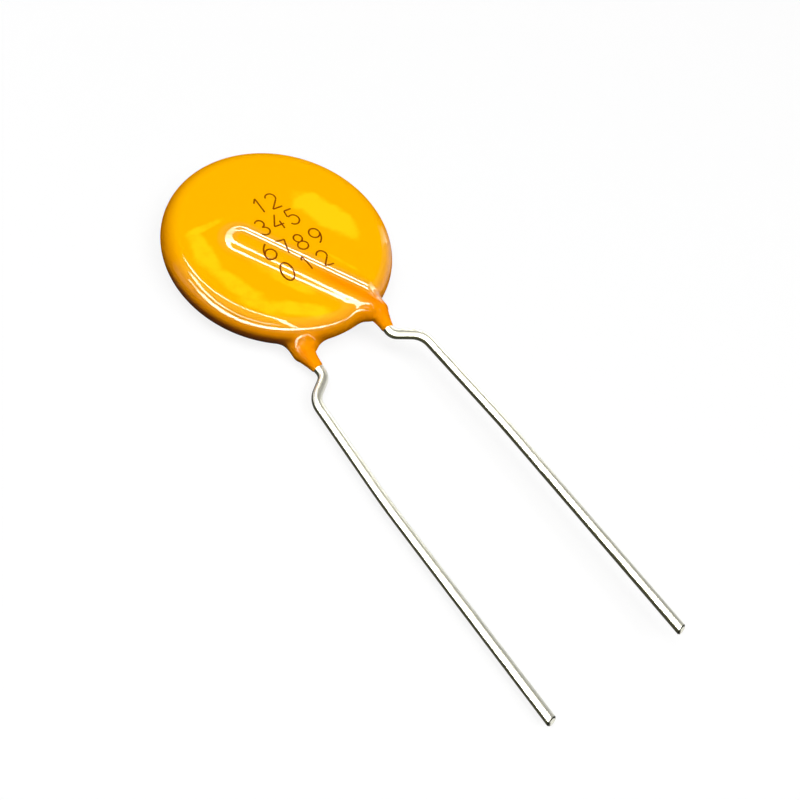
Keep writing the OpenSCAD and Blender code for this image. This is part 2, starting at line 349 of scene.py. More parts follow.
class Skin:
    """The coating as a distance, negative inside, about the disc's middle."""

    def __init__(self, coat, both, courses):
        self.coat, self.both, self.courses = coat, both, courses
        stack = coat.ceramic_t / 2 + coat.electrode_t
        self.lead_r = both.diameter / 2
        self.rim_r = coat.ceramic_d / 2 + coat.rim_cover
        self.body_r = stack + coat.face_cover
        self.flat_r = self.rim_r - self.body_r
        self.ridge_r = self.lead_r + coat.wire_cover
        self.lip_r = self.lead_r + coat.lip
        self.wire_z = stack + coat.solder_film + self.lead_r
        self.reach = self.body_r + coat.rundown_len + 2 * self.ridge_r

    def cover(self, beyond):
        """Radius of the coating round a wire, from the ridge's radius at the rim to the
        lip's at the end of the run-down, along a power curve."""
        left = 1 - ramp(beyond, 0, self.coat.rundown_len)
        return self.lip_r + (self.ridge_r - self.lip_r) * left ** self.coat.rundown_curve

    def along(self, p, course, a, b, beyond_a, beyond_b):
        """Distance to the coating round the straight wire from a to b: the distance to
        the nearest point of the wire, less the cover there."""
        q = p * np.array([course.side, 1, course.side])
        start, ab = np.append(a, self.wire_z), np.append(b - a, 0)
        t = np.clip((q - start) @ ab / (ab @ ab), 0, 1)
        away = np.linalg.norm(q - start - t[..., None] * ab, axis=-1)
        return away - self.cover(beyond_a + t * (beyond_b - beyond_a))

    def over_wire(self, p, c):
        """Distance to the ridge and the run-down over one wire."""
        shoulder, end = self.both.shoulder, self.coat.rundown_len
        return np.min([self.along(p, c, c.inner, c.rim, 0, 0),
                       self.along(p, c, c.rim, c.bend, 0, shoulder),
                       self.along(p, c, c.bend, c.rundown_end, shoulder, end)], axis=0)

    def distance(self, p):
        """A flat disc with a full round rim, softly joined with both wires' coating. The
        blend shrinks evenly across the rim towards the face away from the wire."""
        out = np.maximum(from_axis(p) - self.flat_r, 0)
        d = np.hypot(out, p[..., 2]) - self.body_r
        for c in self.courses:
            far = ramp(-c.side * p[..., 2] / self.body_r, -1 / 3, 2 / 3)
            blend = self.coat.blend * (1 - (1 - self.coat.far_blend) * far)
            d = soft_min(d, self.over_wire(p, c), blend)
        return d

    def leave(self, start, way):
        """Where lines from start along way leave the skin, by halving the stretch."""
        halvings = 34
        low = np.zeros(np.broadcast_shapes(start.shape, way.shape)[:-1])
        high = np.full_like(low, self.reach)
        for _ in range(halvings):
            middle = (low + high) / 2
            outside = self.distance(start + middle[..., None] * way) > 0
            high, low = np.where(outside, middle, high), np.where(outside, low, middle)
        return start + high[..., None] * way


def share(a, foot, width, power):
    """1 in a run-down's column, falling off beside it as exp(-(away / width) ^ power)."""
    return np.exp(-np.abs((a - foot) / width) ** power)


def columns(foot, near, far, before=1.6, after=1.7):
    """Angles of half the columns: crowded towards the run-down from both sides, by powers
    of the share of the way to it and on from it."""
    to_foot = foot * (1 - (1 - np.arange(near) / near) ** before)
    onward = foot + (math.pi - foot) * (np.arange(far + 1) / far) ** after
    return np.concatenate([to_foot, onward])


def skin_grid(skin, near, far, face_rings, rim_rings, rim_crowding=1.8, lift_power=6):
    """Points of the skin in rings and columns. A line starts at a ring's radius, raised
    to the wire's height near a run-down, and leaves the skin upwards on the flat, fanning
    out over the rim, along the run-down beside it."""
    front, rear = skin.courses
    feet = [c.foot(skin.flat_r) for c in (front, rear)]
    a = np.concatenate([columns(feet[0], near, far), -columns(feet[1], near, far)[-2:0:-1]])
    beside, near_wire, flat_bell, bell = math.radians(16), math.radians(9), 4, 2
    way = (a - (feet[0] - front.neck_angle()) * share(a, feet[0], beside, flat_bell)
           + (feet[1] - rear.neck_angle()) * share(-a, feet[1], beside, flat_bell))
    radius = skin.flat_r * np.arange(1, face_rings + 1) / face_rings
    fan = np.arange(rim_rings - 1, -rim_rings, -1) / rim_rings
    rise = np.sign(fan) * np.abs(fan) ** rim_crowding * math.pi / 2
    radii = np.concatenate([radius, np.full(len(fan), skin.flat_r), radius[::-1]])[:, None]
    up = np.full(face_rings, math.pi / 2)
    rise = np.concatenate([up, rise, -up])[:, None]
    lift = ((share(a, feet[0], near_wire, bell) - share(-a, feet[1], near_wire, bell))
            * (radii / skin.flat_r) ** lift_power)
    start = np.stack([radii * np.sin(a), -radii * np.cos(a), skin.wire_z * lift], -1)
    line = np.stack([np.cos(rise) * np.sin(way), -np.cos(rise) * np.cos(way),
                     np.sin(rise) * np.ones_like(a)], -1)
    return skin.leave(start, line)


# ---- meshes

def ring_faces(rings, count):
    """Quads between rings of count points each, closed round the ring."""
    index = np.arange(rings * count).reshape(rings, count)
    a, b = index[:-1], index[1:]
    return np.stack([a, b, np.roll(b, -1, 1), np.roll(a, -1, 1)], -1).reshape(-1, 4)


def meshed(name, points, faces, material):
    """A mesh object at the origin from points and faces."""
    mesh = bpy.data.meshes.new(name)
    mesh.from_pydata(points, [], faces)
    mesh.materials.append(material)
    thing = bpy.data.objects.new(name, mesh)
    bpy.context.scene.collection.objects.link(thing)
    return thing


def new_piece(name, points, faces, material):
    """A smooth mesh object from points and blocks of faces, riding on the part."""
    loops = [loop for block in faces for loop in block.tolist()]
    piece = meshed(name, points.tolist(), loops, material)
    piece.data.polygons.foreach_set("use_smooth", np.ones(len(loops), bool))
    if piece.data.validate(verbose=False):
        raise RuntimeError(f"{name}: its mesh has faults")
    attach(piece, "root")
    return piece


def give(piece, name, values):
    """Stores a number or a vector at each point of a piece."""
    vector = values.ndim > 1
    layer = piece.data.attributes.new(name, "FLOAT_VECTOR" if vector else "FLOAT", "POINT")
    layer.data.foreach_set("vector" if vector else "value",
                           np.ascontiguousarray(values, np.float32).ravel())


# ---- shader maths

class Value:
    """A socket that carries numbers, on which Python's operators add Math nodes."""

    def __init__(self, shader, socket):
        self.shader, self.socket = shader, socket

    def maths(self, operation, *terms, clamp=False):
        """A Math node on these terms."""
        return self.shader.node("ShaderNodeMath", {"operation": operation, "use_clamp": clamp},
                                dict(enumerate(terms)))

    def __add__(self, other):
        return self.maths("ADD", self, other)

    def __sub__(self, other):
        return self.maths("SUBTRACT", self, other)

    def __rsub__(self, other):
        return self.maths("SUBTRACT", other, self)

    def __mul__(self, other):
        return self.maths("MULTIPLY", self, other)

    __radd__, __rmul__ = __add__, __mul__

    def clamped(self):
        """Itself, kept from 0 to 1."""
        return self.maths("ADD", self, 0.0, clamp=True)

    def steps(self, low, high):
        """0 below low, 1 above high, and smooth between."""
        return self.shader.node("ShaderNodeMapRange", {"interpolation_type": "SMOOTHSTEP"},
                                {"Value": self, "From Min": low, "From Max": high})


class Shader:
    """A material, or the world, that is made node by node."""

    def __init__(self, name, owner=None):
        self.owner = owner or bpy.data.materials.new(name)
        self.owner.use_nodes = True
        self.tree = self.owner.node_tree
        self.tree.nodes.clear()

    def node(self, kind, settings=None, inputs=None, output=0):
        """A node of a kind: its settings first, then its sockets by name or number."""
        made = self.tree.nodes.new(kind)
        for name, value in (settings or {}).items():
            setattr(made, name, value)
        for name, value in (inputs or {}).items():
            socket = made.inputs[name] if isinstance(name, int) else next(
                s for s in made.inputs if name in (s.identifier, s.name) and s.enabled)
            if isinstance(value, Value):
                self.tree.links.new(value.socket, socket)
            else:
                socket.default_value = value
        return Value(self, made.outputs[output])

    def noise(self, scale, detail=2.0, roughness=0.5, where=None, shift=(0, 0, 0)):
        """Noise from about 0 to 1, at the places given or else at the object's, shifted."""
        where = where or self.node("ShaderNodeMapping", {}, {
            "Vector": self.node("ShaderNodeTexCoord", output="Object"), "Location": shift})
        return self.node("ShaderNodeTexNoise", {}, {
            "Vector": where, "Scale": scale, "Detail": detail, "Roughness": roughness})

    def stored(self, name, output="Fac"):
        """What give() stored on the piece."""
        return self.node("ShaderNodeAttribute", {"attribute_name": name}, output=output)

    def mix(self, amount, a, b):
        """Colour a, changing to b."""
        return self.node("ShaderNodeMix", {"data_type": "RGBA"}, {
            "Factor_Float": amount, "A_Color": rgba(a), "B_Color": rgba(b)},
            output="Result")

    def bump(self, height, distance):
        """A bumped normal from a height of 0 to 1 over a distance."""
        return self.node("ShaderNodeBump", {}, {
            "Height": height, "Distance": distance, "Strength": 1.0})

    def surface(self, **inputs):
        """The finished material, of a Principled surface."""
        named = {key.replace("_", " "): value for key, value in inputs.items()}
        bsdf = self.node("ShaderNodeBsdfPrincipled", {}, named)
        return self.out(bsdf)

    def out(self, surface, kind="ShaderNodeOutputMaterial"):
        """The finished material or world, of any surface."""
        end = self.tree.nodes.new(kind)
        self.tree.links.new(surface.socket, end.inputs["Surface"])
        return self.owner


def rgba(rgb):
    """A colour's three values with full alpha, or a socket as it is."""
    return rgb if isinstance(rgb, Value) else (*rgb, 1.0)


# ---- finishes

def coating_finish(look):
    """Glossy dipped coating: painted yellow sheen patches on the flat that stand for broad
    reflections, more orange where it is thin over a wire and on the round of the rim, painted
    dark-brown shade on the rim beneath towards -X and -Y, with a fine waviness and a clear
    gloss."""
    s = Shader("coating_enamel")
    drift = s.noise(260.0)
    ragged = s.noise(900.0, 3.0, 0.6)
    # Painted reflection: yellow sheen patches, broken up by noise.
    sheen_level = s.stored("pool") + (drift - 0.5) * 0.5 + (ragged - 0.5) * 0.6
    body = s.mix(sheen_level.steps(0.3, 0.72) * 0.85, look.face, look.pool)
    # The rim beneath on the -X and -Y side gets painted shade in dark brown.
    for name, amount, rgb in (("rim", 0.9, look.rim),
                              ("shaded_under", 0.75 + drift * 0.3, look.shaded_under),
                              ("thin", 0.75 + drift * 0.4, look.thin)):
        body = s.mix((s.stored(name) * amount).clamped(), body, rgb)
    fine = s.noise(1 / look.grain, 2.0, 0.55)
    broad = s.noise(420.0, 1.0, shift=(0.3, 0.1, 0.7))
    return s.surface(Base_Color=body, Roughness=0.3 + drift * 0.1, Specular_IOR_Level=0.0,
                     Coat_Weight=s.stored("gloss"), Coat_Roughness=0.03, Coat_IOR=1.5,
                     Normal=s.bump(fine * 0.35 + broad * 0.65, 0.00003))


def wire_finish(look):
    """Bright tinned wire: fine draw marks along its length, duller streaks and specks, a
    painted dark reflection along one side, and painted dark shade on the cutter's edges."""
    s = Shader("tinned_wire")
    round_it = s.stored("drawn", "Vector")
    lines = s.noise(6.0, 3.0, 0.6, where=round_it)
    hairs = s.noise(21.0, 2.0, 0.7, where=round_it)
    blots = s.noise(900.0, 3.0, 0.6)
    dulled = (lines * 0.6 + blots * 0.55 - 0.35).steps(0.12, 0.42)
    # Painted dark reflection along one side, broken up by the draw marks and blots.
    shaded_side = (s.stored("shaded_side") + (lines - 0.5) * 0.5 + (blots - 0.5) * 0.3).steps(0.35, 0.7)
    body = s.mix(shaded_side, s.mix(dulled * 0.5, look.tin, look.dull), look.shaded_side)
    # The cutter's bevel is painted near-black as shade.
    return s.surface(Base_Color=s.mix(s.stored("cut"), body, look.cut),
                     Metallic=1.0, Roughness=0.34 + dulled * 0.1,
                     Specular_Tint=rgba(look.edge),
                     Normal=s.bump(lines * 0.4 + hairs * 0.6, 0.000006))


def ink_finish(look):
    """Printed ink: matt, and a little lighter where it lies thin."""
    s = Shader("printed_ink")
    thin = s.noise(2400.0).steps(0.42, 0.75)
    paler = [c * 1.7 for c in look.ink]
    return s.surface(Base_Color=s.mix(thin * 0.6, look.ink, paler),
                     Roughness=0.6 + thin * 0.2, Specular_IOR_Level=0.0)


def ceramic_finish(look):
    """Sintered ceramic: tan, with a fine darker speckle."""
    s = Shader("sintered_ceramic")
    speckle = s.noise(3500.0, 3.0).steps(0.45, 0.7)
    return s.surface(Base_Color=s.mix(speckle, look.ceramic, look.speckle),
                     Roughness=0.75 + speckle * 0.1, Normal=s.bump(speckle, 0.000004))


def film_finish(name, bright, dark, roughness):
    """Fired silver or reflowed solder: a metal film with soft cloudy patches."""
    s = Shader(name)
    cloud = s.noise(1400.0, 4.0, 0.6).steps(0.35, 0.7)
    return s.surface(Base_Color=s.mix(cloud, bright, dark), Metallic=1.0,
                     Roughness=roughness + cloud * 0.15, Normal=s.bump(cloud, 0.000003))


# ---- the parts of the job

def settings(context):
    """The scene, and the skin with its two courses, worked out from the properties."""
    scene = context.scene
    coat, both = scene.cap_coating, scene.cap_wires
    courses = [Course(coat, both, scene.cap_front_wire, 1),
               Course(coat, both, scene.cap_rear_wire, -1)]
    return scene, Skin(coat, both, courses)


def middle():
    """The disc's middle in the frame, from the ceramic's box."""
    low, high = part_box("ceramic_disc")
    return np.array((low + high) / 2)


def check_against(node, points, allowed=0.1 * MM):
    """Raises an error where a piece and the node that it stands for differ in their box."""
    low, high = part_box(node)
    off = np.array([points.min(0) - low, points.max(0) - high])
    if np.abs(off).max() > allowed:
        raise RuntimeError(f"{node}: the new piece's box is off by (mm) {off / MM}")


class CAPACITOR_OT_coating(Operator):
    """Builds the glossy coating with a ridge and a run-down over each wire"""
    bl_idname = "capacitor.coating"
    bl_label = "Coating"

    def execute(self, context):
        scene, skin = settings(context)
        grid = skin_grid(skin, near=60, far=140, face_rings=80, rim_rings=40)
        rings, count = grid.shape[:2]
        poles = skin.leave(np.zeros((2, 3)), np.array([UP, -UP]))
        points = np.vstack([grid.reshape(-1, 3), poles])
        around = np.arange(count)
        following = np.roll(around, -1)
        first, last = rings * count, (rings - 1) * count
        faces = [ring_faces(rings, count),
                 np.stack([np.full(count, first), around, following], -1),
                 np.stack([np.full(count, first + 1), last + following, last + around], -1)]
        placed = points + middle()
        # The skin's rounded ends reach on inside the wires.
        check_against("coating", placed, 0.25 * MM)
        piece = new_piece("coating_skin", placed, faces,
                          coating_finish(scene.cap_coating_look))
        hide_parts("coating")
        # Among these measures are the painted shade beneath the rim and the painted sheen
        # patches.
        for measure in (self.thin, self.rim, self.shaded_under, self.pool, self.gloss):
            give(piece, measure.__name__, measure(skin, points))
        return {"FINISHED"}

    @staticmethod
    def thin(skin, p):
        """How thin the coating is over a wire: a bell across the crest of the wire,
        only where the skin lies on the wire's own side."""
        half_width, past_rim = 0.55 * MM, 1.3
        total = np.zeros(len(p))
        for c in skin.courses:
            q = p * np.array([c.side, 1, c.side])
            ab = c.rim - c.inner
            t = np.clip((q[:, :2] - c.inner) @ ab / (ab @ ab), 0, past_rim)
            off = np.linalg.norm(q[:, :2] - c.inner - t[:, None] * ab, axis=1)
            bell = np.exp(-(off / half_width) ** 2) * (q[:, 2] > 0)
            total = np.maximum(total, bell * ramp(t, 0.35, 0.7))
        return total

    @staticmethod
    def rim(skin, p):
        """How far the skin has turned over the rim: 0 on the flat, 1 at the outermost."""
        return ramp((from_axis(p) - skin.flat_r) / skin.body_r, 0.35, 1)

    @staticmethod
    def shaded_under(skin, p):
        """Painted shade: how far the skin has turned to face downwards on the side towards -X
        and
        -Y, where it is painted dark brown as shade, but not on the run-downs."""
        most, way = 0.86, np.array([-0.848, -0.53])
        away = from_axis(p)
        turned = ramp(-p[:, 2] / skin.body_r, -0.34, -0.07)
        on_disc = 1 - ramp(away - skin.rim_r, 0, 0.3 * MM)
        towards = p[:, :2] @ way / away.clip(MM)
        return most * turned * on_disc * ramp(towards, 0.6, 0.8)

    @staticmethod
    def gloss(skin, p):
        """The clear gloss: full on the shoulders, satin on the flats, and thin on the far
        end of the rim, the root of the rear run-down and past the rim. How far the skin
        looks up is the distance's change over a small step up."""
        step, least = 0.01 * MM, 0.04
        up = (skin.distance(p + step * UP) - skin.distance(p - step * UP)) / 2 / step
        shoulder = np.maximum(ramp(up, 0.47, 0.6), ramp(-up, 0.6, 0.9))
        level = ramp(np.abs(up), 0.965, 0.99)
        on_rim = ramp((from_axis(p) - skin.flat_r) / MM, -0.6, 0.4)
        x, y = p[:, 0] / MM, p[:, 1] / MM
        far_end = np.maximum(ramp(0.5 * x + 0.85 * y, -0.75, 1.75), ramp(y, 0.2, 1.4))
        root = np.exp(-(np.hypot(x + 3.2, y + 9.0) / 0.8) ** 4)
        past_rim = ramp(-y, 8.6, 9.1)
        dull = np.max([0.99 * on_rim * far_end, 0.95 * root, 0.96 * past_rim], axis=0)
        return (least + (1 - least) * shoulder) * (1 - dull) * (1 - 0.92 * level)

    @staticmethod
    def pool(skin, p):
        """Painted sheen patches that stand for broad reflections: soft ellipses on the flat, 1
        inside, a half at the outline, and 0 at half the size beyond it."""
        reach = 1.5
        total = np.zeros(len(p))
        for x, y, long, wide, turn, amount in SHEEN_PATCHES:
            c, s = math.cos(math.radians(turn)), math.sin(math.radians(turn))
            u, v = p[:, 0] / MM - x, p[:, 1] / MM - y
            away = np.hypot((u * c + v * s) / long, (v * c - u * s) / wide)
            total = np.maximum(total, amount * np.clip(reach - away, 0, 1))
        return total * (p[:, 2] > 0)


# Painted sheen patches, yellow patches that stand for broad reflections on the flat: middle
# X and Y, half length and half width in millimetres, the turn of the long side from +X in
# degrees, and the share of the sheen colour.
SHEEN_PATCHES = [(4.2, 0.1, 2.9, 1.3, -68, 0.95), (3.5, 1.9, 1.3, 0.8, 0, 0.95),
         (-5.3, 2.8, 2.2, 0.4, 5, 0.58), (-6.5, 0.5, 2.5, 1.0, 86, 0.64),
         (-5.8, -3.0, 2.9, 0.9, -66, 0.64), (-2.9, -6.6, 3.2, 0.8, -33, 0.6),
         (-2.2, -4.2, 3.2, 0.6, -58, 0.58), (-5.1, -5.2, 2.0, 0.7, -50, 0.56),
         (2.7, -4.4, 1.8, 0.25, -62, 0.5)]


class CAPACITOR_OT_wires(Operator):
    """Builds the two tinned wires, from their buried ends over the kinks to the tips"""
    bl_idname = "capacitor.wires"
    bl_label = "Wires"

    def execute(self, context):
        scene, skin = settings(context)
        finish = wire_finish(scene.cap_wire_look)
        for course, name in zip(skin.courses, ("front", "rear")):
            self.wire(skin, course, name, finish)
        return {"FINISHED"}

    @staticmethod
    def path(both, c):
        """The wire's middle line in plan, with its bends."""
        kink = unit(c.kink_bottom - c.kink_top)
        room = c.bare_len - both.bend_lap
        top_r = min(both.kink_top_r, room / math.tan(math.acos(c.neck_way @ kink) / 2))
        corners = [c.inner, c.bend, c.kink_top, c.kink_bottom, c.set, c.tip]
        radii = [0, both.shoulder_bend_r, top_r, both.kink_bottom_r, both.set_bend_r, 0]
        return rounded(corners, radii, math.radians(2.5))

    def wire(self, skin, c, name, finish):
        """A circle carried along the path, with a bevel and a flat at the tip: each point
        is the path's point + radius * (cos * sideways + sin * up). The last ring lies in
        the end face, inside the cutter's edge, which is painted dark as shade."""
        both, around, step = skin.both, 64, 0.5 * MM
        bent, inside_edge, drawn_length, before = 2 * MM, 0.88, 12 * MM, 0.06 * MM
        path = self.path(both, c)
        run = gone(path)
        bevel = run[-1] - both.tip_bevel
        places = np.unique(np.concatenate([
            run[:-1], [bevel - before, bevel], np.arange(step, bevel, step)]))
        places = np.append(places[places <= bevel], run[-1])
        path, ahead, left = followed(path, run, places)
        sideways = np.pad(left, ((0, 0), (0, 1)))
        centre = np.pad(path, ((0, 0), (0, 1)), constant_values=skin.wire_z)
        radius = np.full(len(path), skin.lead_r)
        radius[-1] -= both.tip_bevel
        a = -math.pi / 2 + np.arange(around) * 2 * math.pi / around
        cos, sin = np.cos(a), np.sin(a)
        tube = centre[:, None] + radius[:, None, None] * (
            cos[:, None] * sideways[:, None] + sin[:, None] * UP)
        # The cutter left the end face leaning back at the top.
        near_tip = ramp(places, run[-1] - bent, run[-1])
        lean = both.tip_lean * near_tip[:, None] * (1 + c.side * sin) / 2
        tube -= lean[..., None] * np.append(ahead[-1], 0)
        if c.side < 0:
            tube = tube * np.array([-1, 1, -1])
        tip = tube[-1].mean(0)
        tube = np.concatenate([tube, [tip + inside_edge * (tube[-1] - tip)]])
        points = tube.reshape(-1, 3) + middle()
        rings = len(tube)
        last = (rings - 1) * around + np.arange(around)
        faces = [ring_faces(rings, around)[:, ::-1], np.arange(around)[None, :],
                 last[None, ::-1]]
        check_against(name + "_lead", points)
        piece = new_piece(name + "_wire", points, faces, finish)
        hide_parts(name + "_lead")
        drawn = np.append(places, run[-1]) / drawn_length
        cylinder = np.stack(np.broadcast_arrays(cos, sin, drawn[:, None]), -1)
        give(piece, "drawn", cylinder.reshape(-1, 3))
        # Painted dark reflection along one side of the wire.
        give(piece, "shaded_side", np.tile(self.shaded_side(c.side * cos, c.side * sin), rings))
        # Painted shade on the ring of the cutter's bevel.
        cut = np.zeros((rings, around))
        cut[-3:-1] = 1
        give(piece, "cut", cut.ravel())
        self.sharpen(piece, around, rings)

    @staticmethod
    def shaded_side(sideways, up):
        """A painted dark reflection along the side of a wire that looks towards -X and a
        little
        down on the straight stretches: 0 at 56 degrees from there and 1 at 25 degrees."""
        turn, outer, inner = np.radians((-97, 56, 25))
        near = sideways * math.sin(turn) + up * math.cos(turn)
        return ramp(near, math.cos(outer), math.cos(inner))

    @staticmethod
    def sharpen(piece, around, rings):
        """Flat end faces, with the cutter's edges left sharp."""
        mesh = piece.data
        smooth = np.ones(len(mesh.polygons), bool)
        smooth[-2:] = False
        smooth[(rings - 3) * around:(rings - 1) * around] = False
        mesh.polygons.foreach_set("use_smooth", smooth)


# ---- the printed numbers

def arc(x, y, wide, high, start, end):
    """A stroke along an ellipse about (x, y), between two angles in degrees."""
    count = 40
    t = np.radians(np.linspace(start, end, count))
    return np.stack([x + wide * np.cos(t), y + high * np.sin(t)], -1)


def line(*points):
    """A straight stroke."""
    return np.array(points, float)


# The strokes of each numeral, in a box one high: single-line numerals of even width.
NUMERALS = {
    "0": [arc(0.3, 0.5, 0.29, 0.5, 0, 360)],
    "1": [line((0.12, 0.72), (0.34, 1)), line((0.34, 1), (0.34, 0))],
    "2": [arc(0.3, 0.71, 0.28, 0.29, 165, -38), line((0.52, 0.53), (0.02, 0)),
          line((0.02, 0), (0.6, 0))],
    "3": [arc(0.28, 0.76, 0.24, 0.24, 150, -90), arc(0.28, 0.26, 0.3, 0.26, 90, -150)],
    "4": [line((0.42, 1), (0.0, 0.3)), line((0.0, 0.3), (0.6, 0.3)),
          line((0.45, 0.55), (0.45, 0))],
    "5": [line((0.54, 1), (0.1, 1)), line((0.1, 1), (0.06, 0.58)),
          arc(0.28, 0.31, 0.3, 0.31, 128, -150)],
    "6": [arc(0.3, 0.3, 0.29, 0.3, 0, 360), arc(0.62, 0.3, 0.61, 0.72, 180, 112)],
    "7": [line((0.0, 1), (0.6, 1)), line((0.6, 1), (0.22, 0))],
    "8": [arc(0.3, 0.76, 0.23, 0.24, 0, 360), arc(0.3, 0.26, 0.29, 0.26, 0, 360)],
    "9": [arc(0.3, 0.7, 0.29, 0.3, 0, 360), arc(-0.02, 0.7, 0.61, 0.72, 0, -68)],
}

# Rows of the print: height of the row's middle, and X of its first and last numeral.
ROWS = [(3.0, -0.25, 1.0), (1.0, -1.2, 1.55), (-1.4, -2.2, 2.25), (-3.5, -1.85, 1.55)]


class CAPACITOR_OT_marking(Operator):
    """Prints rows of plain numerals on the front face"""
    bl_idname = "capacitor.marking"
    bl_label = "Numbers"

    def execute(self, context):
        scene, skin = settings(context)
        sizes = scene.cap_marking
        rows = (sizes.row_1, sizes.row_2, sizes.row_3, sizes.row_4)
        points, faces, count, box_middle = [], [], 0, np.array([0.3, 0.5])
        for text, (y, first, last) in zip(rows, ROWS):
            spots = np.linspace(first, last, len(text)) * MM
            for numeral, x in zip(text, spots):
                for stroke in NUMERALS[numeral]:
                    placed = (stroke - box_middle) * sizes.height + [x, y * MM]
                    ribbon, loops, ends = self.ribbon(skin, placed, sizes)
                    faces += [loops + count, ends + count]
                    points.append(ribbon)
                    count += len(ribbon)
        new_piece("printed_numbers", np.vstack(points) + middle(), faces,
                  ink_finish(sizes))
        return {"FINISHED"}

    @staticmethod
    def ribbon(skin, stroke, sizes):
        """A low ribbon of ink that follows the skin: across the stroke its top is relief *
        (1 - 0.6 * offset squared) over the skin, its foot lies below the skin, and its
        ends narrow to a half circle."""
        half, step, blunt = sizes.stroke / 2, 0.06 * MM, 0.02
        run = gone(stroke)
        pad = np.linspace(0, half, 6)
        inner = np.linspace(half, run[-1] - half, max(3, int(run[-1] / step)))
        s = np.concatenate([pad[:-1], inner, run[-1] - pad[-2::-1]])
        path, _, across = followed(stroke, run, s)
        from_end = ramp(np.minimum(s, run[-1] - s), 0, half)
        width = half * (np.sqrt(1 - (1 - from_end) ** 2) + blunt)
        offset = np.array([1, 0.5, 0, -0.5, -1, -1, 1])
        top = sizes.relief * (1 - 0.6 * offset[:5] ** 2)
        foot = np.full(2, -2 * sizes.relief)
        xy = path[:, None] + (width[:, None] * offset)[..., None] * across[:, None]
        start = np.pad(xy, ((0, 0), (0, 0), (0, 1)))
        on_skin = skin.leave(start, UP)
        on_skin[..., 2] += np.concatenate([top, foot])
        rings, count = on_skin.shape[:2]
        loops = ring_faces(rings, count)
        ends = np.array([np.arange(count)[::-1], (rings - 1) * count + np.arange(count)])
        return on_skin.reshape(-1, 3), loops[:, ::-1], ends[:, ::-1]


class CAPACITOR_OT_element(Operator):
    """Gives the ceramic, the electrodes and the solder inside the coating their finishes"""
    bl_idname = "capacitor.element"
    bl_label = "Inner pieces"

    def execute(self, context):
        look = context.scene.cap_inner_look
        silver = film_finish("fired_silver", look.silver, look.silver_cloud, 0.4)
        solder = film_finish("reflowed_solder", look.solder, look.solder_cloud, 0.25)
        finishes = {"ceramic_disc": ceramic_finish(look), "front_electrode": silver,
                    "rear_electrode": silver, "front_solder": solder,
                    "rear_solder": solder}
        for node, finish in finishes.items():
            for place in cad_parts[node].material_slots:
                place.material = finish
        return {"FINISHED"}


# ---- the studio

def turned_off(axis, about, away):
    """Directions that lie away from an axis, on the sides given by the angles about it,
    counted from +X towards +Y: cos(away) * axis + sin(away) * side."""
    right = unit(np.cross([0, 1, 0], axis))
    ahead = np.cross(axis, right)
    about, away = about[:, None], away[:, None]
    side = np.cos(about) * right + np.sin(about) * ahead
    return np.cos(away) * axis + np.sin(away) * side


def stand(thing, spot, x, y, z):
    """Stands a lamp or a camera at a spot, its own axes along x, y and z."""
    thing.matrix_world = Matrix.Translation(Vector(spot)) @ Matrix(
        np.column_stack([x, y, z]).tolist()).to_4x4()
    bpy.context.scene.collection.objects.link(thing)


def strip_lamp(name, start, end, width, brightness, target, glint=True):
    """A strip lamp from start to end that faces the target, of a given brightness. A
    glint lamp is only mirrored, and any other lamp only lights."""
    centre, along = (start + end) / 2, unit(end - start)
    back = centre - target
    back = unit(back - (back @ along) * along)
    lamp = bpy.data.lights.new(name, "AREA")
    lamp.shape = "RECTANGLE"
    lamp.size, lamp.size_y = float(np.linalg.norm(end - start)), width
    lamp.energy = brightness * lamp.size * width * math.pi
    warm, white = (1.0, 0.97, 0.84), (1.0, 1.0, 1.0)
    lamp.color = warm if glint else white
    holder = bpy.data.objects.new(name, lamp)
    stand(holder, centre, along, np.cross(back, along), back)
    holder.visible_camera = False
    holder.visible_diffuse, holder.visible_glossy = not glint, glint


